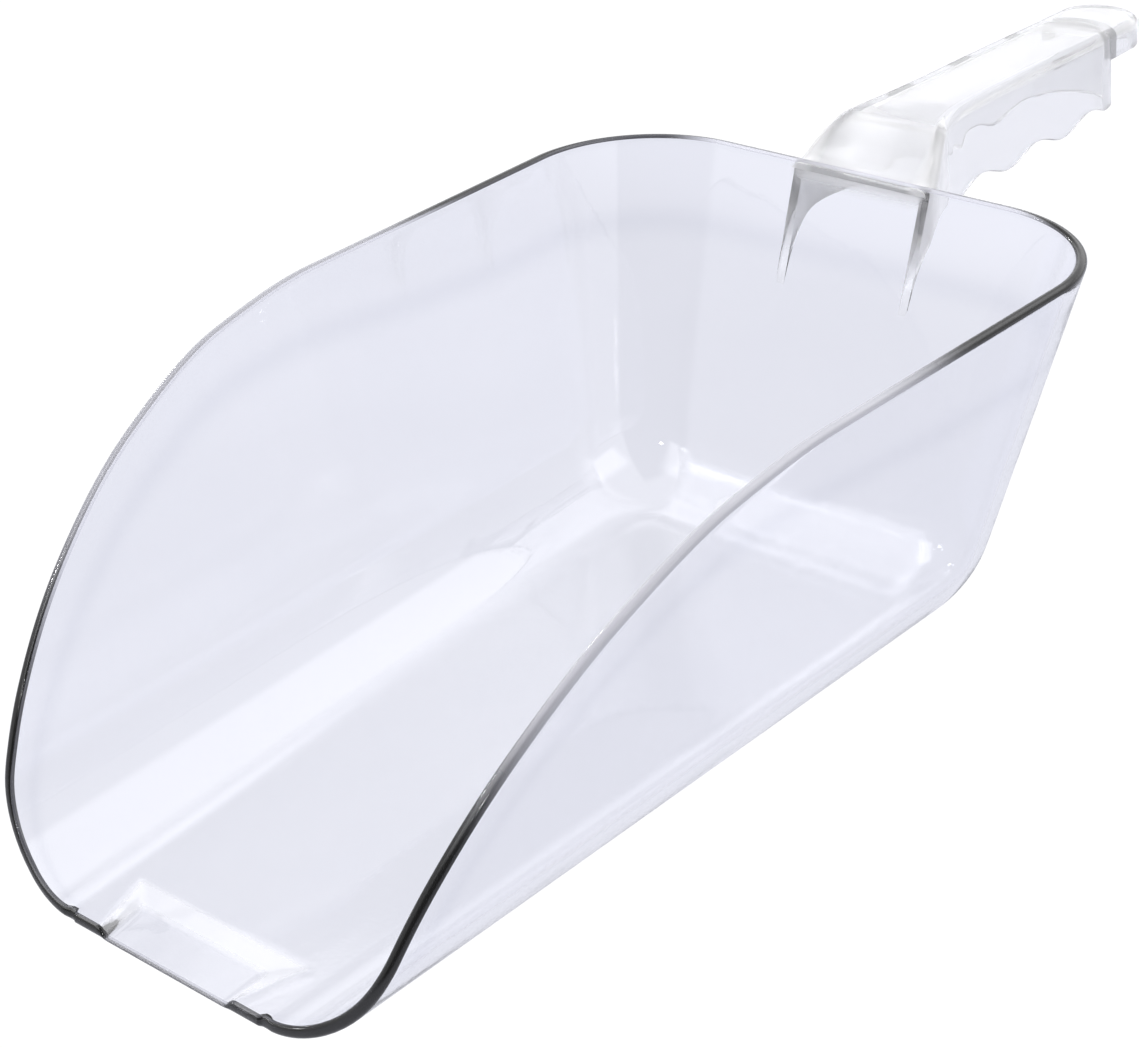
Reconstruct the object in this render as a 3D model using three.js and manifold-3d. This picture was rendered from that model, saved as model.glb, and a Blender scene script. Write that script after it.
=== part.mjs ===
// Clear moulded ice scoop: a deep open bowl with a thin pouring lip and a hollow channel handle.
// Millimetres, +Z up. The mouth faces -Y, the handle points to +Y, and the scoop is symmetric about X = 0.
// Lengths along the scoop are measured from the lip, and the finished group is centred on the origin.
import * as THREE from "three";
import { mergeVertices } from "three/addons/utils/BufferGeometryUtils.js";
import Module from "manifold-3d";

const wasm = await Module();
wasm.setup();

// Driving dimensions of the bowl
const WALL = 2.5;
const GAP = 0.3; // clearance left between touching bodies
const FLOOR_LENGTH = 210; // lip to the back wall's outer face, at the table
const RIM_HEIGHT = 86.3; // level part of the rim, and the back rim
const BACK_LEAN = 0.305; // outward lean of the back wall, per millimetre of height
const FOOT_HALF_WIDTH = { lip: 48.5, back: 55.7 }; // where the side wall's plane meets the table
const HIGH_HALF_WIDTH = { lip: 67.6, back: 73.7 }; // the same plane at SIDE_HEIGHT
const SIDE_HEIGHT = 88;
const FLOOR_FILLET = { lip: 27.8, back: 23.9 };
const CORNER_RADIUS = { foot: 24, rim: 34 }; // upright back corners, in plan
const CORNER_GROWS_FROM = 20; // height where the corner starts to open out
// Rim seen from the side: distance from the lip, height
const RIM_LINE = [
  [0, 0], [2, 4.3], [8, 19.2], [17, 34.2], [35, 53.9], [60, 71.3],
  [90, 82.8], [120, RIM_HEIGHT], [160, RIM_HEIGHT], [200, RIM_HEIGHT], [240, RIM_HEIGHT],
];

// Driving dimensions of the pouring lip
const LIP_HALF_WIDTH = 24.5;
const LIP_DEPTH = 16.5;
const LIP_EDGE = 1.1; // thickness at the edge

// Driving dimensions of the handle. Its lengths and heights are measured from the back rim's outer edge.
const HANDLE_TOP = [
  [0, 0], [4, 3.4], [8, 7], [12, 9.4], [18, 10.5], [26, 10.9], [60, 10.6], [98, 9.9], [124, 9.5],
];
const HANDLE_HALF_WIDTH = [
  [0, 19.6], [4, 17.9], [8, 16.2], [12, 14.5], [18, 12.5], [26, 11.2], [40, 10.8], [98, 10.8], [124, 10.8],
];
const HANDLE_DRAFT = 0.06; // side walls spread outwards, per millimetre of depth
const RIB_EDGE = [
  [-8.2, -28], [-5.6, -22], [-2, -17], [4, -12.3], [9, -11], [14, -10.7], [22, -10.9],
];
const RIB_TIP = -8.2; // where the ribs run out on the back wall
const LEAST_RIB = 0.4; // depth of a rib at its tip
const GRIP_EDGE_HEIGHT = -10.2; // mean height of the scalloped lower edge
const SCALLOP_DEPTH = 1.5; // half of the height of a finger scallop
const SCALLOP_PITCH = 27;
const FIRST_SCALLOP = 34;
const NECK_END = 14; // the sloping neck turns into the level grip here
const GRIP_END = 96; // the straight side walls end here
const TAB_CENTRE = 110.4;
const TAB_RADIUS = 10.9;
const TAB_SKIRT_FOOT = 2; // height of the skirt's lower edge
const SKIRT_OVERLAP = 0.8; // the skirt starts this share of the grip's half width behind GRIP_END
const HANDLE_STEP = 3; // spacing of the handle's cross-sections
const ARC_STEPS = 12;

const BACK_RIM = FLOOR_LENGTH + RIM_HEIGHT * BACK_LEAN;
const TOTAL_LENGTH = BACK_RIM + TAB_CENTRE + TAB_RADIUS;

const clearPlastic = () =>
  new THREE.MeshStandardMaterial({
    color: 0xe4e6f1, roughness: 0.08, metalness: 0, transparent: true, opacity: 0.35,
  });

const mix = (pair, share) => THREE.MathUtils.lerp(pair[0], pair[1], share);
const range = (count) => Array.from({ length: count + 1 }, (_, i) => i / count);

// A smooth curve through a list of [along, height] points, read as height(along)
function heightCurve(points) {
  const curve = new THREE.CatmullRomCurve3(points.map(([a, h]) => new THREE.Vector3(a, h, 0)));
  const samples = curve.getPoints(points.length * 16);
  return (along) => {
    const last = samples.length - 2;
    let i = 0;
    while (i < last && samples[i + 1].x < along) i += 1;
    const share = (along - samples[i].x) / (samples[i + 1].x - samples[i].x);
    return mix([samples[i].y, samples[i + 1].y], THREE.MathUtils.clamp(share, 0, 1));
  };
}

// A closed body between two rails A and B that are repeated at several levels.
// levels[k] = { a: [points], b: [points] }, all rails with the same number of points.
function railBody(levels) {
  const count = levels[0].a.length;
  const position = [];
  for (const { a, b } of levels) {
    for (const p of [...a, ...b]) position.push(p[0], p[1], p[2]);
  }
  const at = (k, rail, i) => (k * 2 + rail) * count + i;
  const index = [];
  const quad = (p, q, r, s) => index.push(p, q, r, p, r, s);
  for (let k = 0; k + 1 < levels.length; k += 1) {
    for (let i = 0; i + 1 < count; i += 1) {
      quad(at(k, 0, i), at(k, 0, i + 1), at(k + 1, 0, i + 1), at(k + 1, 0, i));
      quad(at(k, 1, i + 1), at(k, 1, i), at(k + 1, 1, i), at(k + 1, 1, i + 1));
    }
    quad(at(k, 1, 0), at(k, 0, 0), at(k + 1, 0, 0), at(k + 1, 1, 0));
    quad(at(k, 0, count - 1), at(k, 1, count - 1), at(k + 1, 1, count - 1), at(k + 1, 0, count - 1));
  }
  const top = levels.length - 1;
  for (let i = 0; i + 1 < count; i += 1) {
    quad(at(0, 1, i), at(0, 1, i + 1), at(0, 0, i + 1), at(0, 0, i));
    quad(at(top, 0, i), at(top, 0, i + 1), at(top, 1, i + 1), at(top, 1, i));
  }
  const geometry = new THREE.BufferGeometry();
  geometry.setAttribute("position", new THREE.Float32BufferAttribute(position, 3));
  geometry.setIndex(signedVolume(position, index) < 0 ? index.reverse() : index);
  return geometry;
}

function signedVolume(position, index) {
  const corner = (i) => new THREE.Vector3().fromArray(position, 3 * i);
  let sum = 0;
  for (let i = 0; i < index.length; i += 3) {
    sum += corner(index[i]).dot(corner(index[i + 1]).cross(corner(index[i + 2])));
  }
  return sum;
}

// Booleans
function solid(geometry) {
  const bare = geometry.clone();
  bare.deleteAttribute("normal");
  bare.deleteAttribute("uv");
  const merged = mergeVertices(bare, 1e-4);
  return new wasm.Manifold(
    new wasm.Mesh({
      numProp: 3,
      vertProperties: new Float32Array(merged.attributes.position.array),
      triVerts: new Uint32Array(merged.index.array),
    }),
  );
}

function geometryOf(body) {
  const mesh = body.getMesh();
  const geometry = new THREE.BufferGeometry();
  geometry.setAttribute("position", new THREE.BufferAttribute(mesh.vertProperties, 3));
  geometry.setIndex(new THREE.BufferAttribute(mesh.triVerts, 1));
  return geometry;
}

// Side wall and floor fillet: half width at a distance from the lip and a height, moved in by an inset
function sideAt(along, height, inset) {
  const share = along / FLOOR_LENGTH;
  const foot = mix([FOOT_HALF_WIDTH.lip, FOOT_HALF_WIDTH.back], share);
  const high = mix([HIGH_HALF_WIDTH.lip, HIGH_HALF_WIDTH.back], share);
  const radius = mix([FLOOR_FILLET.lip, FLOOR_FILLET.back], THREE.MathUtils.clamp(share, 0, 1));
  return filletedWall(foot, (high - foot) / SIDE_HEIGHT, radius, height, inset);
}

function backAt(height, inset) {
  return filletedWall(FLOOR_LENGTH, BACK_LEAN, FLOOR_FILLET.back, height, inset);
}

// A leaning wall with a round foot: where its plane is, and where its surface is, at a height
function filletedWall(foot, lean, radius, height, inset) {
  const angle = Math.atan(lean);
  const plane = foot + height * lean - inset / Math.cos(angle);
  const centre = foot + radius * lean - radius / Math.cos(angle);
  const tangent = radius * (1 - Math.sin(angle)) + inset * Math.sin(angle);
  if (height > tangent) return { plane, surface: plane };
  const arc = (radius - inset) ** 2 - (radius - height) ** 2;
  return { plane, surface: centre + Math.sqrt(Math.max(arc, 0)) };
}

// One level of the tub: the right-hand rail from the front to the middle of the back, and its mirror
function tubLevel(height, inset, front) {
  const opening = (height - CORNER_GROWS_FROM) / (RIM_HEIGHT - CORNER_GROWS_FROM);
  const radius = mix([CORNER_RADIUS.foot, CORNER_RADIUS.rim], Math.max(opening, 0)) - inset;
  const back = backAt(height, inset);
  const cornerY = back.plane - radius;
  const side = sideAt(cornerY, height, inset);
  const cornerX = side.plane - radius;
  const radiusX = radius - (side.plane - side.surface);
  const radiusY = radius - (back.plane - back.surface);
  const a = range(14).map((share) => {
    const along = mix([front, cornerY], share);
    return [sideAt(along, height, inset).surface, along, height];
  });
  for (const share of range(9).slice(1)) {
    const angle = (share * Math.PI) / 2;
    a.push([cornerX + radiusX * Math.cos(angle), cornerY + radiusY * Math.sin(angle), height]);
  }
  return { a, b: a.map(([x, y, z]) => [-x, y, z]) };
}

function tub(inset, front, top) {
  const filletHeights = range(9).slice(1).map((share) => {
    return inset + (FLOOR_FILLET.lip - inset) * (1 - Math.cos((share * Math.PI) / 2.3));
  });
  const wallHeights = [40, 62, top];
  const heights = [inset, ...filletHeights, ...wallHeights];
  return railBody(heights.map((height) => tubLevel(height, inset, front)));
}

// The space under the rim line, as a slab across the scoop
function underRim() {
  const rim = heightCurve(RIM_LINE);
  const far = BACK_RIM + 10;
  const stations = [0, 1, 2, 4, 6, 8, 11, 14, 17, 21, 26, 35, 45, 60, 75, 90, 105, 120, far];
  const reach = 120;
  const rail = (x, height) => stations.map((along) => [x, along, height(along)]);
  const low = () => -5;
  return railBody([
    { a: rail(reach, low), b: rail(-reach, low) },
    { a: rail(reach, rim), b: rail(-reach, rim) },
  ]);
}

function bowlShell() {
  const outer = solid(tub(0, -12, RIM_HEIGHT + 4));
  const inner = solid(tub(WALL, -24, RIM_HEIGHT + 8));
  const notch = new THREE.BoxGeometry(2 * (LIP_HALF_WIDTH + GAP), 2 * (LIP_DEPTH + GAP), 4 * WALL);
  const shell = outer.subtract(inner).intersect(solid(underRim())).subtract(solid(notch));
  return geometryOf(shell);
}

// A strip of floor that thins from the wall thickness to a fine edge
function pouringLip() {
  const rail = (x) => [[x, 0, 0], [x, LIP_DEPTH, 0]];
  const rise = (x) => [[x, LIP_EDGE / WALL, LIP_EDGE], [x, LIP_DEPTH, WALL]];
  return railBody([
    { a: rail(LIP_HALF_WIDTH), b: rail(-LIP_HALF_WIDTH) },
    { a: rise(LIP_HALF_WIDTH), b: rise(-LIP_HALF_WIDTH) },
  ]);
}

// Handle surfaces, as functions of the distance behind the back rim
const handleTop = heightCurve(HANDLE_TOP);
const handleHalfWidth = heightCurve(HANDLE_HALF_WIDTH);
const ribEdge = heightCurve(RIB_EDGE);

function handleUnderside(along) {
  const slope = handleTop(along + 1) - handleTop(Math.max(along, 0));
  return handleTop(along) - WALL * Math.hypot(1, slope);
}

function handleLowerEdge(along) {
  const turn = (2 * Math.PI * (along - FIRST_SCALLOP)) / SCALLOP_PITCH;
  const scallop = GRIP_EDGE_HEIGHT + SCALLOP_DEPTH * Math.cos(turn);
  const blend = THREE.MathUtils.smoothstep(along, 16, 24);
  return mix([ribEdge(Math.min(along, 22)), scallop], blend);
}

function stationsBetween(from, to) {
  const steps = Math.ceil((to - from) / HANDLE_STEP);
  return range(steps).map((share) => mix([from, to], share));
}

const place = (x, along, height) => [x, BACK_RIM + along, RIM_HEIGHT + height];

// A plate of the handle's full width between two stations. The neck's front end leans with the back wall.
function handlePlate(from, to, lean = 0) {
  const stations = stationsBetween(from, to);
  const surface = (height, shift) => (side) =>
    stations.map((along, i) => place(side * handleHalfWidth(along), along - (i ? 0 : shift), height(along)));
  const top = surface(handleTop, 0);
  const under = surface(handleUnderside, lean);
  return railBody([{ a: under(1), b: under(-1) }, { a: top(1), b: top(-1) }]);
}

const neckPlate = () => handlePlate(GAP, NECK_END, WALL * BACK_LEAN);
const gripTop = () => handlePlate(NECK_END + GAP, GRIP_END - GAP);

// A side wall of the channel, running on down the back wall as a tapering rib
function gripSide(side) {
  const stations = [...stationsBetween(RIB_TIP, 0), ...stationsBetween(1.5, GRIP_END)];
  const topEdge = (along) => {
    const backWall = (along - GAP) / BACK_LEAN;
    return Math.min(backWall, handleUnderside(Math.max(along, 0)) - GAP);
  };
  const lowEdge = (along) => Math.min(handleLowerEdge(along), topEdge(along) - LEAST_RIB);
  const wallX = (along, height) => {
    const near = Math.max(along, 0);
    return handleHalfWidth(near) + HANDLE_DRAFT * Math.max(handleTop(near) - height, 0);
  };
  const rail = (edge, inset) =>
    stations.map((along) => place(side * (wallX(along, edge(along)) - inset), along, edge(along)));
  return railBody([
    { a: rail(lowEdge, 0), b: rail(lowEdge, WALL) },
    { a: rail(topEdge, 0), b: rail(topEdge, WALL) },
  ]);
}

// A half-round wall that closes the end of the channel
function endWall() {
  const footHeight = handleLowerEdge(GRIP_END);
  const topHeight = handleUnderside(TAB_CENTRE) - GAP;
  const halfWidth = (height) => handleHalfWidth(GRIP_END) + HANDLE_DRAFT * (handleTop(GRIP_END) - height);
  const arc = (radius, height) =>
    range(ARC_STEPS).map((share) => {
      const angle = share * Math.PI;
      return place(radius * Math.cos(angle), GRIP_END + GAP + radius * Math.sin(angle), height);
    });
  const level = (height) => {
    const radius = halfWidth(height);
    return { a: arc(radius, height), b: arc(radius - WALL, height) };
  };
  return railBody([level(footHeight), level(topHeight)]);
}

// The round tab beyond the channel: a plate with a shallow skirt
function endTab() {
  const arcStart = 0.02;
  const outline = (radius) =>
    range(ARC_STEPS).map((share) => {
      const angle = mix([0, Math.PI / 2 - arcStart], share);
      return [radius * Math.cos(angle), TAB_CENTRE + radius * Math.sin(angle)];
    });
  const edge = [[handleHalfWidth(GRIP_END), GRIP_END], ...outline(TAB_RADIUS)];
  const surface = (height, side) => edge.map(([x, along]) => place(side * x, along, height(along)));
  const plate = railBody([
    { a: surface(handleUnderside, 1), b: surface(handleUnderside, -1) },
    { a: surface(handleTop, 1), b: surface(handleTop, -1) },
  ]);
  const skirtStart = GRIP_END + handleHalfWidth(GRIP_END) * SKIRT_OVERLAP;
  const rail = (radius, height) => {
    const half = [[radius, skirtStart], ...outline(radius)];
    const mirrored = [...half].reverse().map(([x, along]) => [-x, along]);
    return [...half, ...mirrored].map(([x, along]) => place(x, along, height(along)));
  };
  const foot = () => TAB_SKIRT_FOOT;
  const intoPlate = (along) => handleUnderside(along) + WALL / 2;
  const skirt = railBody([
    { a: rail(TAB_RADIUS, foot), b: rail(TAB_RADIUS - WALL, foot) },
    { a: rail(TAB_RADIUS, intoPlate), b: rail(TAB_RADIUS - WALL, intoPlate) },
  ]);
  return geometryOf(solid(plate).add(solid(skirt)));
}

// Assembly
const scoop = new THREE.Group();
scoop.position.y = -TOTAL_LENGTH / 2;

function addPart(name, geometry) {
  const mesh = new THREE.Mesh(geometry, clearPlastic());
  mesh.name = name;
  scoop.add(mesh);
}

addPart("bowl_shell", bowlShell());
addPart("pouring_lip", pouringLip());
addPart("neck_plate", neckPlate());
addPart("grip_top", gripTop());
addPart("grip_side_right", gripSide(1));
addPart("grip_side_left", gripSide(-1));
addPart("channel_end_wall", endWall());
addPart("end_tab", endTab());

export default scoop;
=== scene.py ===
"""Clear moulded ice scoop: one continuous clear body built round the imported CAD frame."""
import math

import bmesh
import bpy
import numpy as np
from mathutils import Matrix, Vector


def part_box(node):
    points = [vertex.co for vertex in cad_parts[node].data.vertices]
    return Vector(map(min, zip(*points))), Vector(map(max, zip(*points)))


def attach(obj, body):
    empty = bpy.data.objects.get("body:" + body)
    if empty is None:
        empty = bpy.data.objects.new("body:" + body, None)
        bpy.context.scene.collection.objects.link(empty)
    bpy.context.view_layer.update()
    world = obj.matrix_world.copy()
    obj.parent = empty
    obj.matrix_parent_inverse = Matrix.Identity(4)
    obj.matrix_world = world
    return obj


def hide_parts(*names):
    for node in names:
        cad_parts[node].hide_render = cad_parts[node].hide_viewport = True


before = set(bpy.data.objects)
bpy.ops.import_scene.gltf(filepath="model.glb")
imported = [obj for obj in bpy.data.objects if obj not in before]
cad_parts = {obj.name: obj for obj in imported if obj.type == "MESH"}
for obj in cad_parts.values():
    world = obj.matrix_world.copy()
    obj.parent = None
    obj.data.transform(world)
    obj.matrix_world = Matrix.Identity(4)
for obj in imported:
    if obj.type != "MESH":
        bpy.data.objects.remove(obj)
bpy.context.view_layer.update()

MM = 0.001
QUARTER = math.pi / 2

# ---------------------------------------------------------------- bowl, millimetres
# Lengths run from the lip towards the handle, and heights from the table, as on the CAD model.
# The widths, FLOOR_FILLET and SOFT_LINE_DEPTH are pairs, at the lip and at the back. The other pairs are
# the two ends of a range. Longer lists are knots of a Curve, as (along, height or width).
WALL = 2.5
FLOOR_LENGTH = 210.0
RIM_HEIGHT = 86.3
BACK_LEAN = 0.305
FOOT_HALF_WIDTH = (48.5, 55.7)  # half widths of the side walls' planes at the table
HIGH_HALF_WIDTH = (67.6, 73.7)  # and at SIDE_HEIGHT
SIDE_HEIGHT = 88.0
FLOOR_FILLET = (27.8, 23.9)
CORNER_FOOT, CORNER_RIM, CORNER_GROWS_FROM = 24.0, 34.0, 20.0  # upright corner: radii, and a height
RIM_LINE = ((0, 0), (2, 4.3), (8, 19.2), (17, 34.2), (35, 53.9), (60, 71.3), (90, 82.8),
            (120, 86.3), (160, 86.3), (200, 86.3), (240, 86.3))
RIM_FRONT = 8.0  # the rim's steep start: sampled finely along, and given its rounding over this height
LEVEL_RIM = (110.0, 120.0)  # the rounding's forward share fades out here, where the rim turns level
SHEAR_FROM = 120.0  # from here on the rows lean back to meet the corner
RIM_ROUND = 1.0
RIM_ROUND_SHARE = 0.48  # most of the wall's thickness that one rounding takes

SOFT_LINE_DEPTH, SOFT_LINE_SPREAD = (11.0, 20.0), 3.2  # faint line below the rim
SOFT_LINE_DEEPENS = (70.0, 190.0)
FAR_BELOW_RIM = 999.0  # depth given to the floor's points, which the soft line never reaches

LIP_FLAT, LIP_DEPTH = 9.5, 16.5  # the lip's hollow: its flat's length, and with the bevel
LIP_HALF_FLAT, LIP_HALF_WIDTH = 16.5, 24.5  # the same across, at the hollow's back
LIP_NOTCH = 1.6  # width of the side bevels at the lip's edge
LIP_BEVEL, LIP_SLOPE = 0.8, 0.09  # the hollow's depth at its back, and how it grows towards the lip
BEVEL_EDGE = (0.02, 0.2)  # shares of the hollow's depth over which the bevel's mark sets in

BACK_RIM = FLOOR_LENGTH + RIM_HEIGHT * BACK_LEAN
LIP_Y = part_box("pouring_lip")[0].y / MM

# ---------------------------------------------------------------- handle, millimetres
# Lengths and heights count from the middle of the back rim.
HANDLE_START = -12.0
HANDLE_TOP = ((-12, -0.05), (-1.2, -0.05), (0, 0.2), (4, 3.4), (8, 7.0), (12, 9.4), (18, 10.5),
              (26, 10.9), (60, 10.6), (98, 9.9), (124, 9.5))
HANDLE_HALF_WIDTH = ((-12, 18.7), (0, 18.9), (4, 17.9), (8, 16.2), (12, 14.5), (18, 12.5), (26, 11.2),
                     (40, 10.8), (98, 10.8), (124, 10.8))
RIB_EDGE = ((-12, -37), (-8.4, -28), (-5.6, -22), (-2, -17), (4, -12.3), (9, -11), (14, -10.7),
            (22, -10.9))
RIB_END, RIB_BLEND = 22.0, (16.0, 24.0)
HANDLE_WALL = 2.4
HANDLE_DRAFT, DRAFT_FULL_AT = 0.06, 22.0
GRIP_EDGE_HEIGHT, SCALLOP_DEPTH, SCALLOP_PITCH, FIRST_SCALLOP = -10.2, 1.5, 27.0, 34.0
GRIP_END, GRIP_END_DROP = 96.0, 0.6
TAB_CENTRE, TAB_RADIUS, TAB_ROOT_HALF_WIDTH = 110.4, 10.9, 9.9
TAB_SKIRT_FOOT, TAB_DRAFT, TAB_ROOT_DROP = 2.0, 0.02, 0.3
# The tab starts inside the grip, widens and rises out of it, and the grip's top drops under it.
TAB_START, TAB_WIDENS = GRIP_END - 5, (GRIP_END - 6, GRIP_END + 4)
TAB_RISES, GRIP_DROPS = (GRIP_END - 4, GRIP_END + 2), (GRIP_END + 2, GRIP_END + 5)
CAVITY_BELOW, POCKET_BELOW = 5.0, 4.0  # how far the hollowing tools reach past the lower edges
FOOT_ROUND, TOP_ROUND, HOLLOW_FOOT_ROUND = 0.6, 2.2, 0.1
TAB_FOOT_ROUND, HOLLOW_ROUND, TAB_HOLLOW_ROUND = 0.5, 1.6, 1.0
NECK_OVERHANG = 0.15  # how far the neck's step passes the rim's inner face
NECK_STEP = -1.6
# The block that cuts the handle off inside the back wall.
BLOCK_LOW, BLOCK_HIGH, BLOCK_REACH, BLOCK_HALF_WIDTH = -60.0, 20.0, -60.0, 40.0

# ---------------------------------------------------------------- mesh density
ROWS = 56
ACROSS = 72
CORNER_STEPS = 30
RIM_STEP, FRONT_WAY, FRONT_STEPS = 1.6, 4.7, 13
RIM_SAMPLES = (400, 3000)  # along the rim's line, in its steep start and after it
ROUND_STEPS = 5
SIDE_STEP, END_STEPS, LEVEL_STEPS = 1.2, 26, 6
MERGE_DISTANCE = 1e-7
SHARP_ANGLE = math.radians(32)


def lerp(pair, share):
    return pair[0] + (pair[1] - pair[0]) * share


def ramp(low, high, value):
    """0 below low, 1 above high, and straight between them."""
    return np.clip((value - low) / (high - low), 0.0, 1.0)


def smooth(low, high, value):
    """The same ramp with soft ends."""
    share = ramp(low, high, value)
    return share * share * (3 - 2 * share)


def unit(vectors):
    return vectors / np.linalg.norm(vectors, axis=1, keepdims=True)


class Curve:
    """A smooth curve through (along, value) knots: Hermite, with slopes that don't overshoot."""

    def __init__(self, points):
        self.x, self.y = np.array(points, float).T
        step = np.diff(self.x)
        rise = np.diff(self.y) / step
        slope = np.zeros(len(self.x))
        same = rise[:-1] * rise[1:] > 0
        weight_a, weight_b = 2 * step[1:] + step[:-1], step[1:] + 2 * step[:-1]
        with np.errstate(divide="ignore", invalid="ignore"):
            mean = (weight_a + weight_b) / (weight_a / rise[:-1] + weight_b / rise[1:])
        slope[1:-1] = np.where(same, mean, 0.0)
        slope[0], slope[-1] = rise[0], rise[-1]
        self.slope = slope

    def __call__(self, at):
        at = np.clip(np.asarray(at, float), self.x[0], self.x[-1])
        i = np.clip(np.searchsorted(self.x, at, side="right") - 1, 0, len(self.x) - 2)
        step = self.x[i + 1] - self.x[i]
        t = (at - self.x[i]) / step
        return (
            self.y[i] * (1 + 2 * t) * (1 - t) ** 2
            + self.slope[i] * step * t * (1 - t) ** 2
            + self.y[i + 1] * t * t * (3 - 2 * t)
            + self.slope[i + 1] * step * t * t * (t - 1)
        )


# ---------------------------------------------------------------- bowl surfaces
def side_shape(along):
    """Foot, lean and fillet radius of the side wall at a distance from the lip."""
    share = along / FLOOR_LENGTH
    foot = lerp(FOOT_HALF_WIDTH, share)
    lean = (lerp(HIGH_HALF_WIDTH, share) - foot) / SIDE_HEIGHT
    return foot, lean, lerp(FLOOR_FILLET, np.clip(share, 0, 1))


def back_shape():
    """The same for the back wall."""
    return FLOOR_LENGTH, BACK_LEAN, FLOOR_FILLET[1]


def filleted_wall(shape, height):
    """Where a leaning wall's plane is, and where its surface with the round foot is, at a height."""
    foot, lean, radius = shape
    angle = np.arctan(lean)
    plane = foot + height * lean
    centre = foot + radius * lean - radius / np.cos(angle)
    arc = centre + np.sqrt(np.maximum(radius**2 - (radius - height) ** 2, 0))
    return plane, np.where(height > radius * (1 - np.sin(angle)), plane, arc)


def heights_up(shape, top, shares):
    """Heights at shares of the way up the wall's outline to top, and how far below top each one is."""
    _, lean, radius = shape
    angle = np.arctan(lean)
    tangent = radius * (1 - np.sin(angle))
    arc = radius * (QUARTER - angle)
    low = radius * np.arccos(np.clip(1 - top / radius, -1, 1))
    total = np.where(top < tangent, low, arc + (top - tangent) / np.cos(angle))
    way = shares * total
    height = np.where(way < arc, radius * (1 - np.cos(way / radius)), tangent + (way - arc) * np.cos(angle))
    return height, total - way


def corner_at(height):
    """Centre and radii, in plan, of the upright corner at a height."""
    opening = np.maximum((height - CORNER_GROWS_FROM) / (RIM_HEIGHT - CORNER_GROWS_FROM), 0)
    radius = lerp((CORNER_FOOT, CORNER_RIM), opening)
    back_plane, back = filleted_wall(back_shape(), height)
    y = back_plane - radius
    side_plane, side = filleted_wall(side_shape(y), height)
    return side_plane - radius, y, radius - (side_plane - side), radius - (back_plane - back)


def rim_stations():
    """Points (along, height) just inside the rim's rounded edge, from the lip to the back corner."""
    fine, coarse = RIM_SAMPLES
    start = np.linspace(0, RIM_FRONT, fine)[:-1]
    along = np.concatenate([start, np.linspace(RIM_FRONT, RIM_LINE[-1][0], coarse)])
    height = Curve(RIM_LINE)(along)
    way = np.concatenate([[0], np.cumsum(np.hypot(np.diff(along), np.diff(height)))])
    corner = float(corner_at(np.array(RIM_HEIGHT - RIM_ROUND))[1])
    last = np.interp(corner, along, way)
    front = FRONT_WAY * np.linspace(0, 1, FRONT_STEPS) ** 2
    steps = int((last - FRONT_WAY) / RIM_STEP)
    at = np.concatenate([front[:-1], np.linspace(FRONT_WAY, last, steps)])
    y, z = np.interp(at, way, along), np.interp(at, way, height)
    dy, dz = np.gradient(y, at), np.gradient(z, at)
    down = RIM_ROUND * dy / np.hypot(dy, dz) * smooth(0, RIM_FRONT, z)
    back = np.sqrt(RIM_ROUND**2 - down**2)
    y, z = y + back * (1 - smooth(*LEVEL_RIM, y)), z - down
    z[0] = 0
    y[-1] = corner
    return y, z, corner


def side_columns(shares):
    """The right side wall's points and their depths below the rim, one column per rim station."""
    y, z, corner = rim_stations()
    y, z = y[:, None], z[:, None]
    heights, depth = heights_up(side_shape(y), z, shares)
    y = y + (corner_at(heights)[1] - corner) * smooth(SHEAR_FROM, corner, y)
    x = filleted_wall(side_shape(y), heights)[1]
    return np.stack([x, y, heights], -1), depth


def across_shares():
    """Places across the bowl between its two sides, as shares of the half width."""
    return 1 - 2 * np.arange(1, ACROSS) / ACROSS


def wall_columns():
    """Columns of points up the walls from side to side, their depths, and the count to the right corner."""
    shares = np.linspace(0, 1, ROWS + 1)[None, :]
    side, depth = side_columns(shares)
    top = np.array([[RIM_HEIGHT - RIM_ROUND]])
    back_heights, back_depth = heights_up(back_shape(), top, shares)

    turn = np.linspace(0, QUARTER, CORNER_STEPS + 1)[1:, None]
    heights = lerp((side[-1:, :, 2], back_heights), turn / QUARTER)
    cx, cy, rx, ry = corner_at(heights)
    corner = np.stack([cx + rx * np.cos(turn), cy + ry * np.sin(turn), heights], -1)
    corner_depth = lerp((depth[-1:], back_depth), turn / QUARTER)

    back_x = across_shares()[:, None] * corner_at(back_heights)[0]
    back_y = filleted_wall(back_shape(), back_heights)[1]
    back = np.stack([back_x, *(np.repeat(row, ACROSS - 1, 0) for row in (back_y, back_heights))], -1)

    half = np.concatenate([side, corner])
    half_depth = np.concatenate([depth, corner_depth])
    columns = np.concatenate([half, back, half[::-1] * [-1, 1, 1]])
    depths = np.concatenate([half_depth, np.repeat(back_depth, ACROSS - 1, 0), half_depth[::-1]])
    return columns, depths, len(half)


def quads_of(grid):
    """Faces of a grid of vertex numbers, as rows of four."""
    return np.stack([grid[:-1, :-1], grid[1:, :-1], grid[1:, 1:], grid[:-1, 1:]], -1).reshape(-1, 4)


def without_repeats(faces):
    """The same faces as lists, with a corner named once where a quad has shrunk to a triangle."""
    kept = []
    for face in faces.tolist():
        ring = [v for i, v in enumerate(face) if v != face[i - 1]]
        if len(set(ring)) >= 3:
            kept.append(ring)
    return kept


def vertex_normals(points, faces):
    """Area-weighted normals of a quad mesh."""
    a, b, c, d = (points[faces[:, i]] for i in range(4))
    normal = np.cross(c - a, d - b)
    total = np.zeros_like(points)
    for i in range(4):
        np.add.at(total, faces[:, i], normal)
    return total / np.maximum(np.linalg.norm(total, axis=1, keepdims=True), 1e-12)


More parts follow.
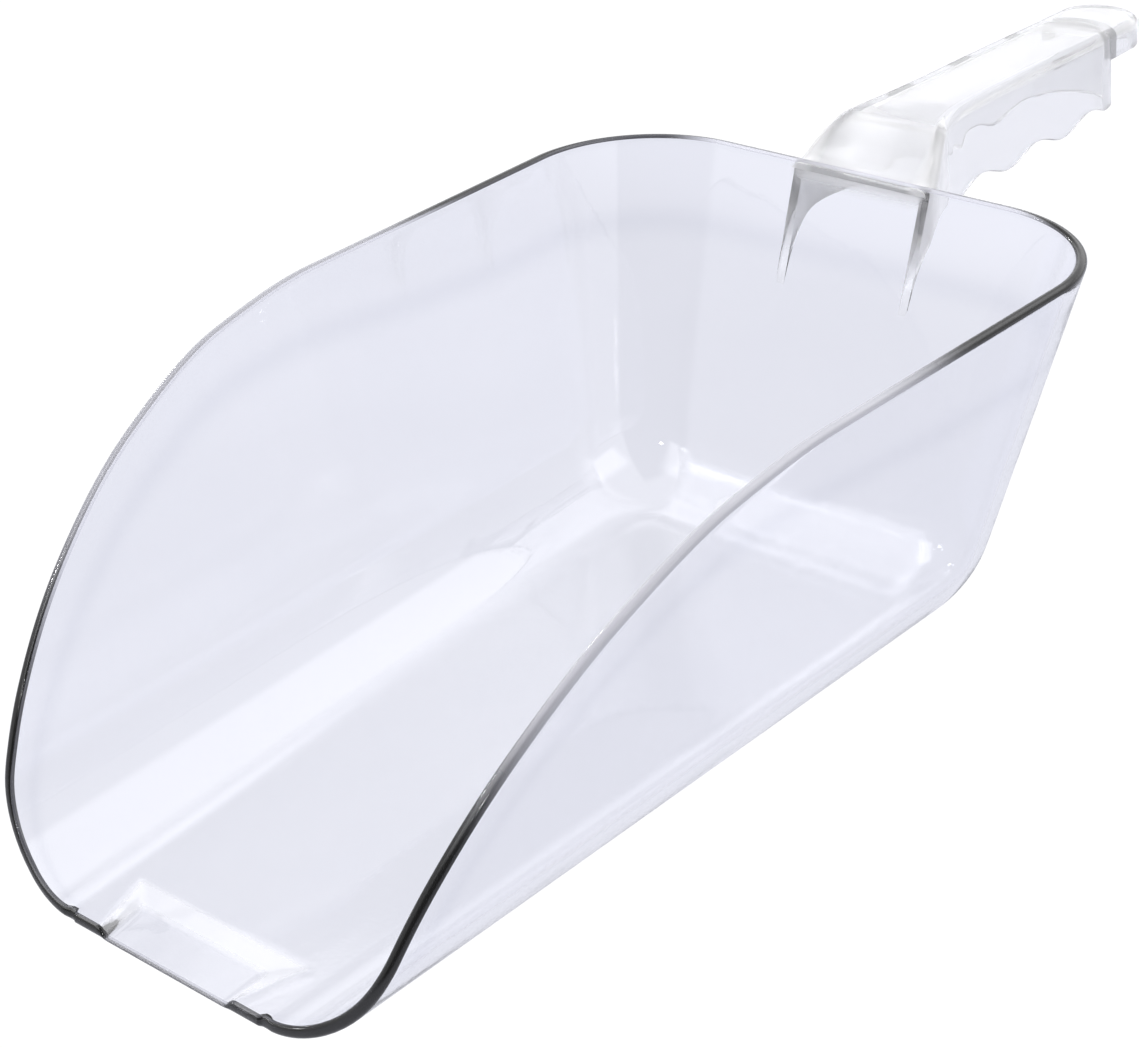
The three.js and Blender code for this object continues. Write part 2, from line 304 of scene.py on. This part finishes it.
def outer_skin():
    """The bowl's outer surface: points, depths below the rim, faces, normals and its edge's vertices."""
    columns, depths, half = wall_columns()
    count = len(columns)
    wall = np.arange(count * (ROWS + 1)).reshape(count, ROWS + 1)
    # The first and last columns stand at the lip's ends, where the wall has no height.
    wall[0, :], wall[-1, :] = wall[0, 0], wall[-1, 0]
    inside = np.arange((half - 1) * (ACROSS - 1)).reshape(half - 1, ACROSS - 1) + wall.size
    floor = np.zeros((half, ACROSS + 1), int)
    floor[:, 0], floor[:, -1] = wall[:half, 0], wall[::-1][:half, 0]
    floor[:-1, 1:-1] = inside
    floor[-1, 1:-1] = wall[half : half + ACROSS - 1, 0]

    right = columns[: half - 1, 0]
    floor_x = right[:, :1] * across_shares()[None, :]
    floor_y = np.repeat(right[:, 1:2], ACROSS - 1, 1)
    floor_points = np.stack([floor_x, floor_y, np.zeros_like(floor_x)], -1)
    points = np.concatenate([columns.reshape(-1, 3), floor_points.reshape(-1, 3)])
    depth = np.concatenate([depths.reshape(-1), np.full(inside.size, FAR_BELOW_RIM)])
    faces = np.concatenate([quads_of(wall), quads_of(floor)[:, ::-1]])
    normals = vertex_normals(points, faces)
    if normals[floor[2, ACROSS // 2], 2] > 0:
        faces, normals = faces[:, ::-1], -normals
    edge = np.concatenate([floor[0, :], wall[1:-1, -1][::-1]])
    return points, depth, faces, normals, edge


def lip_hollow(points):
    """How far into the lip's hollow each point lies: 1 on its flat, and falling to 0 over its bevels."""
    x, y, z = points.T
    spread = lerp((LIP_HALF_FLAT + LIP_NOTCH, LIP_HALF_WIDTH), ramp(0, LIP_DEPTH, y))
    hollow = 1 - np.maximum(ramp(LIP_FLAT, LIP_DEPTH, y), ramp(LIP_HALF_FLAT, spread, np.abs(x)))
    return np.where(z < WALL, hollow, 0)


def rim_rows(base, normal, thickness):
    """Rows of points round the rim's edge, from the outer surface over to the inner one."""
    off = unit(np.cross(np.roll(base, -1, 0) - np.roll(base, 1, 0), normal))
    if off[ACROSS // 2, 1] > 0:
        off = -off
    depth = np.minimum(RIM_ROUND, RIM_ROUND_SHARE * thickness)
    turn = np.linspace(0, QUARTER, ROUND_STEPS + 1)[1:]
    rows = []
    for start, inwards, angles in ((base, -1, turn), (base - normal * thickness, 1, turn[::-1])):
        for angle in angles:
            out = off * RIM_ROUND * math.sin(angle)
            rows.append(start + out + inwards * normal * depth * (1 - math.cos(angle)))
    return rows


def bowl_mesh():
    """The bowl's points, the faces of its surfaces and of its rounded rim, and the marks on its points."""
    points, depth, faces, normals, edge = outer_skin()
    along = points[:, 1]
    hollow = lip_hollow(points)
    thickness = WALL - (LIP_BEVEL + LIP_SLOPE * np.maximum(LIP_FLAT - along, 0)) * hollow
    inner = points - normals * thickness[:, None]
    rows = rim_rows(points[edge], normals[edge], thickness[edge][:, None])

    count, ring_count = len(points), len(edge)
    row_ids = [2 * count + k * ring_count + np.arange(ring_count) for k in range(len(rows))]
    ring = np.stack([edge, *row_ids, edge + count])
    rim_faces = quads_of(np.concatenate([ring, ring[:, :1]], 1))

    line_depth = lerp(SOFT_LINE_DEPTH, smooth(*SOFT_LINE_DEEPENS, along))
    line = np.exp(-(((depth - line_depth) / SOFT_LINE_SPREAD) ** 2))
    bevel = smooth(*BEVEL_EDGE, hollow) * smooth(*BEVEL_EDGE, 1 - hollow)
    unmarked = np.zeros(ring_count * len(rows))
    marks = {
        "soft_line": np.concatenate([line, line, unmarked]),
        "lip_bevel": np.concatenate([np.zeros(count), bevel, unmarked]),
    }
    everything = np.concatenate([points, inner, *rows])
    surfaces = without_repeats(faces) + without_repeats(faces[:, ::-1] + count)
    return everything, surfaces, without_repeats(rim_faces), marks


def as_object(name, points, faces, slots=(), marks=None):
    """A mesh object in metres, in the row frame, with loose points dropped and normals outwards."""
    mesh = bpy.data.meshes.new(name)
    placed = (np.asarray(points, float) + [0, LIP_Y, 0]) * MM
    mesh.from_pydata(placed.tolist(), [], faces)
    if slots:
        mesh.polygons.foreach_set("material_index", slots)
    for mark, values in (marks or {}).items():
        mesh.attributes.new(mark, "FLOAT", "POINT").data.foreach_set("value", values)
    bm = bmesh.new()
    bm.from_mesh(mesh)
    bmesh.ops.remove_doubles(bm, verts=bm.verts, dist=MERGE_DISTANCE)
    bmesh.ops.delete(bm, geom=[v for v in bm.verts if not v.link_faces], context="VERTS")
    bmesh.ops.recalc_face_normals(bm, faces=bm.faces)
    if bm.calc_volume(signed=True) < 0:
        bmesh.ops.reverse_faces(bm, faces=bm.faces)
    bm.to_mesh(mesh)
    bm.free()
    obj = bpy.data.objects.new(name, mesh)
    bpy.context.scene.collection.objects.link(obj)
    return obj


# ---------------------------------------------------------------- handle
handle_top = Curve(HANDLE_TOP)
handle_half_width = Curve(HANDLE_HALF_WIDTH)
rib_edge = Curve(RIB_EDGE)


def handle_underside(along):
    """Height of the top plate's lower face, one wall's thickness below its slope."""
    middle = np.maximum(along, 0)
    slope = handle_top(middle + 0.5) - handle_top(middle - 0.5)
    return handle_top(along) - WALL * np.hypot(1, slope)


def handle_lower_edge(along):
    """Height of the sides' lower edge: the ribs' curve, and then the finger scallops."""
    wave = np.cos(2 * math.pi * (along - FIRST_SCALLOP) / SCALLOP_PITCH)
    scallop = GRIP_EDGE_HEIGHT + SCALLOP_DEPTH * wave
    blend = smooth(*RIB_BLEND, along)
    return rib_edge(np.minimum(along, RIB_END)) * (1 - blend) + scallop * blend


def tab_half_width(along):
    return lerp((TAB_ROOT_HALF_WIDTH, TAB_RADIUS), smooth(*TAB_WIDENS, along))


def outline(start, end, half_width):
    """Right-hand plan outline and its normals: along the side, then a quarter turn to the middle."""
    side_y = np.linspace(start, end, int((end - start) / SIDE_STEP) + 1)
    side = np.stack([half_width(side_y), side_y], -1)
    radius = side[-1, 0]
    turn = np.linspace(0, QUARTER, END_STEPS + 1)[1:]
    arc = np.stack([radius * np.cos(turn), end + radius * np.sin(turn)], -1)
    arc[-1, 0] = 0
    points = np.concatenate([side, arc])
    step = np.gradient(points, axis=0)
    step[-1] = (-1, 0)
    return points, unit(np.stack([step[:, 1], -step[:, 0]], -1))


def stacked(name, plan, levels):
    """A closed solid from one plan outline and its mirror, repeated at levels of (inset, height)."""
    points, normal = plan
    count = len(points)
    rails = []
    for inset, height in levels:
        moved = points - normal * np.broadcast_to(inset, (count,))[:, None]
        x = np.maximum(moved[:, 0], 0)
        right = np.stack([x, moved[:, 1] + BACK_RIM, np.broadcast_to(height, (count,)) + RIM_HEIGHT], -1)
        rails += [right, right * [-1, 1, 1]]
    ids = np.arange(2 * len(levels) * count).reshape(len(levels), 2, count)
    loop = np.concatenate([ids[:, 0, :], ids[:, 1, ::-1]], 1)
    sides = quads_of(np.concatenate([loop, loop[:, :1]], 1))
    faces = np.concatenate([sides, quads_of(ids[0]), quads_of(ids[-1])])
    return as_object(name, np.concatenate(rails), faces.tolist())


def rounded_levels(low, high, draft, round_low, round_high, inset=0.0):
    """Levels from low to high, with a draft and rounded lower and upper edges."""
    turn = np.linspace(0, QUARTER, ROUND_STEPS + 1)
    levels = []
    for angle in turn:
        foot_inset = inset - draft * (high - low) + round_low * (1 - math.sin(angle))
        levels.append((foot_inset, low + round_low * (1 - math.cos(angle))))
    for share in np.linspace(0, 1, LEVEL_STEPS + 1)[1:-1]:
        height = (low + round_low) * (1 - share) + (high - round_high) * share
        levels.append((inset - draft * (high - height), height))
    for angle in turn:
        height = high - round_high * (1 - math.sin(angle))
        levels.append((inset - draft * (high - height) + round_high * (1 - math.cos(angle)), height))
    return levels


def combine(base, other, operation):
    """Booleans other into base with the exact manifold solver, and removes other."""
    modifier = base.modifiers.new("combine", "BOOLEAN")
    modifier.operation = operation
    modifier.solver = "MANIFOLD"
    modifier.object = other
    graph = bpy.context.evaluated_depsgraph_get()
    mesh = bpy.data.meshes.new_from_object(base.evaluated_get(graph))
    base.modifiers.clear()
    base.data = mesh
    bpy.data.objects.remove(other)


def tab_object():
    """The round tab at the grip's end, with its shallow skirt."""
    plan = outline(TAB_START, TAB_CENTRE, tab_half_width)
    along = plan[0][:, 1]
    foot = np.full_like(along, TAB_SKIRT_FOOT)
    top = handle_top(along) - TAB_ROOT_DROP * (1 - smooth(*TAB_RISES, along))
    tab = stacked("tab", plan, rounded_levels(foot, top, TAB_DRAFT, TAB_FOOT_ROUND, TOP_ROUND))
    pocket = stacked("tab_pocket", plan, rounded_levels(
        foot - POCKET_BELOW, handle_underside(along), TAB_DRAFT, HOLLOW_FOOT_ROUND, TAB_HOLLOW_ROUND,
        HANDLE_WALL))
    combine(tab, pocket, "DIFFERENCE")
    return tab


def handle_object():
    """The ribs, neck, grip and tab, hollow from below, and cut off inside the back wall."""
    plan = outline(HANDLE_START, GRIP_END, handle_half_width)
    along = plan[0][:, 1]
    low = handle_lower_edge(np.minimum(along, GRIP_END))
    top = handle_top(along) - GRIP_END_DROP * smooth(*GRIP_DROPS, along)
    draft = HANDLE_DRAFT * smooth(0, DRAFT_FULL_AT, along)
    handle = stacked("bar", plan, rounded_levels(low, top, draft, FOOT_ROUND, TOP_ROUND))
    combine(handle, tab_object(), "UNION")
    cavity = stacked("cavity", plan, rounded_levels(
        low - CAVITY_BELOW, handle_underside(along), draft, HOLLOW_FOOT_ROUND, HOLLOW_ROUND, HANDLE_WALL))
    combine(handle, cavity, "DIFFERENCE")
    combine(handle, behind_back_wall(), "DIFFERENCE")
    return handle


def behind_back_wall():
    """A block on the bowl's side of the back wall's middle, stepped so that the neck covers the rim."""
    middle, inner = WALL / 2, WALL * math.hypot(1, BACK_LEAN) + NECK_OVERHANG
    profile = [
        (BLOCK_REACH, BLOCK_LOW),
        (BLOCK_LOW * BACK_LEAN - middle, BLOCK_LOW),
        (NECK_STEP * BACK_LEAN - middle, NECK_STEP),
        (NECK_STEP * BACK_LEAN - inner, NECK_STEP),
        (-inner, BLOCK_HIGH),
        (BLOCK_REACH, BLOCK_HIGH),
    ]
    sides = (-BLOCK_HALF_WIDTH, BLOCK_HALF_WIDTH)
    points = [(x, BACK_RIM + y, RIM_HEIGHT + z) for x in sides for y, z in profile]
    count = len(profile)
    faces = [tuple(range(count)), tuple(range(count, 2 * count))]
    faces += [(i, (i + 1) % count, (i + 1) % count + count, i + count) for i in range(count)]
    return as_object("block", points, faces)


def scoop_object():
    """The whole scoop as one closed body, with the wall, rim and handle plastics in its three slots: one
    plastic, with painted shade on the rim's copy and painted light on the handle's copy.
    """
    points, surfaces, rim, marks = bowl_mesh()
    slots = [0] * len(surfaces) + [1] * len(rim)
    scoop = as_object("clear_scoop_body", points, surfaces + rim, slots, marks)
    for kind in PLASTIC_TINTS_AND_PAINTED_LIGHT:
        scoop.data.materials.append(clear_plastic(kind))
    handle = handle_object()
    handle.data.materials.clear()
    handle.data.materials.append(scoop.data.materials[2])
    combine(scoop, handle, "UNION")
    scoop.data.shade_smooth()
    scoop.data.set_sharp_from_angle(angle=SHARP_ANGLE)
    return scoop


# ---------------------------------------------------------------- materials
class Graph:
    """Short names for building a node tree."""

    def __init__(self, tree):
        self.nodes, self.links = tree.nodes, tree.links
        self.nodes.clear()

    def add(self, kind, inputs=None, **settings):
        node = self.nodes.new(kind)
        for key, value in settings.items():
            setattr(node, key, value)
        for key, value in (inputs or {}).items():
            if isinstance(value, bpy.types.NodeSocket):
                self.links.new(value, node.inputs[key])
            else:
                node.inputs[key].default_value = value
        return node

    def math(self, operation, first, second=0.0):
        return self.add("ShaderNodeMath", {0: first, 1: second}, operation=operation).outputs[0]

    def total(self, first, *others):
        for other in others:
            first = self.math("ADD", first, other)
        return first

    def product(self, first, *others):
        for other in others:
            first = self.math("MULTIPLY", first, other)
        return first

    def dot(self, vector, direction):
        inputs = {0: vector, 1: direction}
        return self.add("ShaderNodeVectorMath", inputs, operation="DOT_PRODUCT").outputs["Value"]

    def remap(self, value, low, high, to_low, to_high, kind="SMOOTHSTEP"):
        inputs = {0: value, 1: low, 2: high, 3: to_low, 4: to_high}
        return self.add("ShaderNodeMapRange", inputs, interpolation_type=kind).outputs[0]

    def noise(self, place, scale, detail, roughness=0.5):
        inputs = {"Vector": place, "Scale": scale, "Detail": detail, "Roughness": roughness}
        return self.add("ShaderNodeTexNoise", inputs).outputs[0]

    def blend(self, share, first, second):
        """A colour between two colours or colour sockets."""
        return self.add("ShaderNodeMix", {0: share, 6: first, 7: second}, data_type="RGBA").outputs[2]

    def mark(self, name):
        """A mark that the mesh carries on its points."""
        return self.add("ShaderNodeAttribute", attribute_name=name).outputs["Fac"]

    def axes(self, place):
        """X, Y and Z of a place or direction, and its distance from the plane X = 0."""
        x, y, z = self.add("ShaderNodeSeparateXYZ", {0: place}).outputs
        return x, y, z, self.math("ABSOLUTE", x)


# Each kind of plastic at its most and at its least tinted. The wall's lavender is the plastic's own tint;
# the rim's copy is painted darker grey, as painted shade, and the handle's copy is painted whiter, as
# painted light.
PLASTIC_TINTS_AND_PAINTED_LIGHT = {
    "wall": ((0.925, 0.93, 0.955, 1), (0.965, 0.965, 0.98, 1)),
    "rim": ((0.78, 0.78, 0.86, 1), (0.84, 0.84, 0.91, 1)),
    "handle": ((0.985, 0.985, 0.995, 1), (1.0, 1.0, 1.0, 1)),
}
SOFT_LINE_TINT = (0.885, 0.89, 0.92, 1)
# Near black painted into the rim, as painted shade for the dark edge lines of clear plastic.
PAINTED_DARK_RIM = (0.012, 0.012, 0.014, 1)
LEAST_ROUGHNESS = {"wall": 0.01, "rim": 0.14, "handle": 0.01}
PLASTIC_IOR = 1.585

# Haze is the share of light that the plastic scatters instead of letting through.
RIM_HAZE, FAR_RIM_HAZE, BACK_RIM_HAZE, LIP_HAZE, BEVEL_HAZE = 0.65, 0.5, 0.35, 0.25, 0.3
RIB_HAZE, EDGE_HAZE, GRIP_HAZE, TAB_HAZE, NECK_HAZE, ROOT_HAZE = 0.12, 0.35, 0.18, 0.07, 0.34, 0.70
# Where each haze sets in or fades out, in metres: across, beside the middle plane, along and up.
SIDE_RIM_STARTS, SIDE_RIM_ENDS, RIM_SIDES = (-0.165, -0.125), (-0.05, 0.0), (-0.02, 0.02)
AT_BACK, BACK_RIM_BESIDE = (0.03, 0.05), (0.038, 0.056)
AT_LIP, LIP_BESIDE = (-0.17, -0.16), (0.016, 0.018)
ROOT_BESIDE, ROOT_HEIGHT = (0.0165, 0.0195), (0.0805, 0.0858)
GRIP_STARTS, TAB_STARTS, RIB_TOP = (0.066, 0.076), (0.144, 0.152), (0.060, 0.076)
NECK_EDGE_BESIDE, NECK_EDGE_ENDS = (0.0125, 0.016), (0.068, 0.082)
PAINTED_DARK_BELOW_HAZE = 0.4  # the rim is painted near black, as painted shade, where it has less haze than this

FLOW_STRETCH, CLOUD_SCALE, SPECKLE_SCALE = (30, 6, 30), 22.0, 420.0
CLOUD_RANGE, CLOUD_ROUGHNESS = (0.35, 0.75), 0.04
SPECKLE_RANGE, SPECKLE_ROUGHNESS = (0.62, 0.8), 0.06
FLOW_RELIEF, SPECKLE_RELIEF, RELIEF_STRENGTH, RELIEF_DEPTH = 0.8, 0.03, 0.12, 0.002


def wall_haze(graph, place):
    """Milky plastic where the neck meets the back wall, and on the lip's bevels."""
    _, along, height, beside = graph.axes(place)
    root = graph.product(
        graph.remap(beside, *ROOT_BESIDE, 1, 0),
        graph.remap(height, *ROOT_HEIGHT, 0, ROOT_HAZE),
        graph.remap(along, *AT_BACK, 0, 1),
    )
    return graph.total(root, graph.product(graph.mark("lip_bevel"), BEVEL_HAZE))


def rim_haze(graph, place):
    """Grey haze halfway along each side, at the back's middle and on the lip. The rest has none, and where
    the haze is low the rim is painted dark as painted shade.
    """
    across, along, _, beside = graph.axes(place)
    sides = graph.product(
        graph.remap(along, *SIDE_RIM_STARTS, 0, 1),
        graph.remap(along, *SIDE_RIM_ENDS, 1, 0),
        graph.remap(across, *RIM_SIDES, FAR_RIM_HAZE, RIM_HAZE),
    )
    back = graph.product(
        graph.remap(beside, *BACK_RIM_BESIDE, BACK_RIM_HAZE, 0),
        graph.remap(along, *AT_BACK, 0, 1),
    )
    lip = graph.product(
        graph.remap(beside, *LIP_BESIDE, LIP_HAZE, 0),
        graph.remap(along, *AT_LIP, 1, 0),
    )
    return graph.total(sides, back, lip)


def handle_haze(graph, place):
    """Milkiest at the neck's edges, less on the grip and the tab, and least on the ribs."""
    _, along, height, beside = graph.axes(place)
    neck_edge = graph.product(
        graph.remap(beside, *NECK_EDGE_BESIDE, 0, EDGE_HAZE),
        graph.remap(along, *NECK_EDGE_ENDS, 1, 0),
    )
    above = graph.total(
        graph.remap(along, *GRIP_STARTS, NECK_HAZE, GRIP_HAZE),
        graph.remap(along, *TAB_STARTS, 0, TAB_HAZE),
        neck_edge,
    )
    rise = graph.remap(height, *RIB_TOP, 0, 1)
    return graph.add("ShaderNodeMix", {0: rise, 2: RIB_HAZE, 3: above}).outputs[0]


HAZES = {"wall": wall_haze, "rim": rim_haze, "handle": handle_haze}


def new_material(name):
    material = bpy.data.materials.new(name)
    material.use_nodes = True
    return material, Graph(material.node_tree)


def clear_plastic(kind):
    """Clear moulded plastic with haze, faint flow marks and fine scratches, for the wall, rim or handle."""
    material, graph = new_material("clear_plastic_" + kind)
    place = graph.add("ShaderNodeTexCoord").outputs["Object"]
    cloud = graph.noise(place, CLOUD_SCALE, 3.0, 0.6)
    speckle = graph.noise(place, SPECKLE_SCALE, 2.0, 0.6)
    drawn_out = graph.add("ShaderNodeMapping", {"Vector": place, "Scale": FLOW_STRETCH}).outputs[0]
    flow = graph.noise(drawn_out, 1.0, 3.0)
    haze = HAZES[kind](graph, place)

    # Besides the plastic's own lavender, the tint pairs hold painted shade on the rim and painted light on
    # the handle.
    colour = graph.blend(cloud, *PLASTIC_TINTS_AND_PAINTED_LIGHT[kind])
    if kind == "wall":
        colour = graph.blend(graph.mark("soft_line"), colour, SOFT_LINE_TINT)
    # Where the rim has little haze it is painted near black: painted shade, not a colour of the plastic.
    if kind == "rim":
        colour = graph.blend(graph.remap(haze, 0, PAINTED_DARK_BELOW_HAZE, 1, 0), colour, PAINTED_DARK_RIM)
    least = LEAST_ROUGHNESS[kind]
    roughness = graph.total(
        graph.remap(cloud, *CLOUD_RANGE, least, least + CLOUD_ROUGHNESS),
        graph.remap(speckle, *SPECKLE_RANGE, 0, SPECKLE_ROUGHNESS),
    )
    relief = graph.total(graph.product(flow, FLOW_RELIEF), graph.product(speckle, SPECKLE_RELIEF))
    bump = graph.add("ShaderNodeBump", {
        "Strength": RELIEF_STRENGTH, "Distance": RELIEF_DEPTH, "Height": relief})
    shader = graph.add("ShaderNodeBsdfPrincipled", {
        "Base Color": colour,
        "Roughness": roughness,
        "Normal": bump.outputs[0],
        "IOR": PLASTIC_IOR,
        "Transmission Weight": graph.math("SUBTRACT", 1.0, haze),
    })
    output = graph.add("ShaderNodeOutputMaterial")
    graph.links.new(shader.outputs[0], output.inputs[0])
    return material


# ---------------------------------------------------------------- stage
# The unlit side of the room, as a wedge of directions between two compass edges: inward normal, softness.
UNLIT_WEDGE = (((-0.438, -0.899, 0), 0.06), ((0.883, -0.469, 0), 0.15))

# The table, in metres. It dims towards the unlit side, and is a little brighter behind the scoop.
TABLE_GLOW = (0.84, 0.85, 0.925, 1)
TABLE_DIMS_OVER, TABLE_LEAST = (0.20, 0.55), 0.45
TABLE_BEHIND_FROM, TABLE_BEHIND = (0.15, 0.24), 1.10
MOTTLE_SCALE, MOTTLE_RANGE, TABLE_MOTTLE = 6.0, (0.3, 0.7), (0.985, 1.015)
TABLE_REACH, TABLE_GAP = 6.0, 0.0004

# The room. Heights are those of unit directions, and edges are closenesses to an aim, at most 1.
ROOM_COLOUR = (0.985, 0.987, 1.0, 1)
ROOM_LOW, ROOM_HIGH, ROOM_GROWS_OVER = 0.74, 1.1, (0.0, 0.9)
ROOM_UNLIT = 0.30
BACKDROP_AIM, BACKDROP_EDGE, BACKDROP_DIMS = (-0.657, 0.458, 0.598), (0.90, 0.99), 0.42
BACKDROP_STARTS = (0.36, 0.46)
STRIP_AIM, STRIP_EDGE, STRIP_BRIGHT = (-0.47, 0.83, 0.30), (0.6, 0.85), 0.6
STRIP_STARTS, STRIP_ENDS = (0.12, 0.20), (0.34, 0.44)

# Rectangular soft boxes one metre overhead: left, right, front, back, softness of the edge, brightness.
SOFT_BOXES = (
    (-1.00, -0.50, -1.70, 0.25, 0.14, 1.35),
    (-0.50, -0.05, -1.70, -0.45, 0.14, 1.35),
    (-0.93, -0.62, 0.15, 0.85, 0.08, 1.5),
    (-0.40, 0.70, 0.44, 1.50, 0.13, 0.9),
    (-1.25, -0.78, -1.05, -0.25, 0.06, 2.2),
    (0.52, 1.20, -0.22, 0.60, 0.12, 1.2),
)
BOX_STARTS, LEAST_HEIGHT = (0.05, 0.3), 0.02
# Small lamps that leave glints on the curved plastic.
LAMPS = ((0.144, -0.786, 0.601), (-0.93, 0.27, 0.25), (-0.80, -0.35, 0.45))
LAMP_EDGE, LAMP_BRIGHT = (0.9994, 0.9998), 60.0
WHITE_STRENGTH = 1.05


def wedge_mask(graph, way):
    """1 inside the unlit wedge and 0 outside it."""
    sides = [graph.remap(graph.dot(way, normal), 0, soft, 0, 1) for normal, soft in UNLIT_WEDGE]
    return graph.product(*sides)


def lobe(graph, way, direction, start, full, extra):
    """Extra brightness round one direction."""
    aim = tuple(Vector(direction).normalized())
    return graph.remap(graph.dot(way, aim), start, full, 0, extra)


def camera_switch(graph, light, kind, output_kind):
    """Shows plain white where the stage is seen straight on, and the given light everywhere else."""
    white = graph.add(kind, {"Color": (1, 1, 1, 1), "Strength": WHITE_STRENGTH})
    path = graph.add("ShaderNodeLightPath")
    inputs = {0: path.outputs["Is Camera Ray"], 1: light.outputs[0], 2: white.outputs[0]}
    mix = graph.add("ShaderNodeMixShader", inputs)
    output = graph.add(output_kind)
    graph.links.new(mix.outputs[0], output.inputs[0])


def table_material():
    """A light table: white where it is seen straight on, pale lavender through and off the plastic."""
    material, graph = new_material("light_table")
    place = graph.add("ShaderNodeTexCoord").outputs["Object"]
    away = graph.add("ShaderNodeVectorMath", {0: place}, operation="LENGTH").outputs["Value"]
    dim = graph.product(wedge_mask(graph, place), graph.remap(away, *TABLE_DIMS_OVER, 0, 1 - TABLE_LEAST))
    mottle = graph.remap(graph.noise(place, MOTTLE_SCALE, 3.0), *MOTTLE_RANGE, *TABLE_MOTTLE)
    along = graph.add("ShaderNodeSeparateXYZ", {0: place}).outputs["Y"]
    behind = graph.remap(along, *TABLE_BEHIND_FROM, 1, TABLE_BEHIND)
    glow = graph.product(graph.math("SUBTRACT", 1.0, dim), mottle, behind)
    table = graph.add("ShaderNodeEmission", {"Color": TABLE_GLOW, "Strength": glow})
    camera_switch(graph, table, "ShaderNodeEmission", "ShaderNodeOutputMaterial")
    return material


def make_floor():
    mesh = bpy.data.meshes.new("floor")
    corners = [(x * TABLE_REACH, y * TABLE_REACH, 0) for x, y in ((-1, -1), (1, -1), (1, 1), (-1, 1))]
    mesh.from_pydata(corners, [], [(0, 1, 2, 3)])
    floor = bpy.data.objects.new("floor", mesh)
    bpy.context.scene.collection.objects.link(floor)
    floor.location.z = -TABLE_GAP
    floor.data.materials.append(table_material())


def room_light(graph, way, height):
    """Strength of the room itself: brighter upwards, with a dim backdrop, a low strip and the unlit side."""
    strength = graph.remap(height, *ROOM_GROWS_OVER, ROOM_LOW, ROOM_HIGH)
    backdrop = graph.remap(graph.dot(way, BACKDROP_AIM), *BACKDROP_EDGE, 0, BACKDROP_DIMS)
    backdrop = graph.product(backdrop, graph.remap(height, *BACKDROP_STARTS, 0, 1))
    strip = graph.product(
        graph.remap(height, *STRIP_STARTS, 0, STRIP_BRIGHT),
        graph.remap(height, *STRIP_ENDS, 1, 0),
        lobe(graph, way, STRIP_AIM, *STRIP_EDGE, 1),
    )
    strength = graph.total(graph.math("SUBTRACT", strength, backdrop), strip)
    return graph.product(strength, graph.remap(wedge_mask(graph, way), 0, 1, 1, ROOM_UNLIT, "LINEAR"))


def soft_box(graph, height, overhead, box):
    """Strength of one soft box, by where a direction meets the plane one metre overhead."""
    left, right, front, back, soft, bright = box
    strength = graph.remap(height, *BOX_STARTS, 0, bright)
    for along, low, high in ((overhead[0], left, right), (overhead[1], front, back)):
        strength = graph.product(
            strength,
            graph.remap(along, low - soft, low + soft, 0, 1),
            graph.remap(along, high - soft, high + soft, 1, 0),
        )
    return strength


def make_world():
    """A soft studio: a pale room with one unlit side, overhead soft boxes and three small lamps."""
    world = bpy.data.worlds.new("studio")
    bpy.context.scene.world = world
    world.use_nodes = True
    graph = Graph(world.node_tree)
    way = graph.add("ShaderNodeTexCoord").outputs["Generated"]
    x, y, height, _ = graph.axes(way)
    above = graph.math("MAXIMUM", height, LEAST_HEIGHT)
    overhead = [graph.math("DIVIDE", axis, above) for axis in (x, y)]
    strength = graph.total(
        room_light(graph, way, height),
        *(soft_box(graph, height, overhead, box) for box in SOFT_BOXES),
        *(lobe(graph, way, direction, *LAMP_EDGE, LAMP_BRIGHT) for direction in LAMPS),
    )
    light = graph.add("ShaderNodeBackground", {"Color": ROOM_COLOUR, "Strength": strength})
    camera_switch(graph, light, "ShaderNodeBackground", "ShaderNodeOutputWorld")


# ---------------------------------------------------------------- camera
# Fitted to the photograph's rim and floor lines. The distance and the target are in millimetres.
AZIMUTH, ELEVATION, ROLL = math.radians(40.585), math.radians(28.433), math.radians(-2.547)
DISTANCE = 523.1
TARGET = (0.0, 124.15, 42.98)
SENSOR_WIDTH = 36.0
LENS_TO_WIDTH = 2.1432836
SHIFT = (-0.00184, -0.00528)


def make_camera():
    data = bpy.data.cameras.new("camera")
    camera = bpy.data.objects.new("camera", data)
    bpy.context.scene.collection.objects.link(camera)
    level = Vector((math.cos(AZIMUTH), math.sin(AZIMUTH), 0))
    outwards = Vector((math.sin(AZIMUTH), -math.cos(AZIMUTH), 0))
    back = outwards * math.cos(ELEVATION) + Vector((0, 0, math.sin(ELEVATION)))
    upright = back.cross(level)
    right = level * math.cos(ROLL) + upright * math.sin(ROLL)
    up = upright * math.cos(ROLL) - level * math.sin(ROLL)
    place = (Vector(TARGET) + Vector((0, LIP_Y, 0)) + back * DISTANCE) * MM
    rotation = Matrix((right, up, back)).transposed()
    camera.matrix_world = Matrix.Translation(place) @ rotation.to_4x4()
    data.sensor_width = SENSOR_WIDTH
    data.lens = LENS_TO_WIDTH * SENSOR_WIDTH
    data.shift_x, data.shift_y = SHIFT
    data.clip_start, data.clip_end = 0.01, 100
    bpy.context.scene.camera = camera


def main():
    scoop = scoop_object()
    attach(scoop, "root")
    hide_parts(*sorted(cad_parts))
    make_floor()
    make_world()
    make_camera()
    bpy.context.scene.view_settings.view_transform = "Standard"


main()
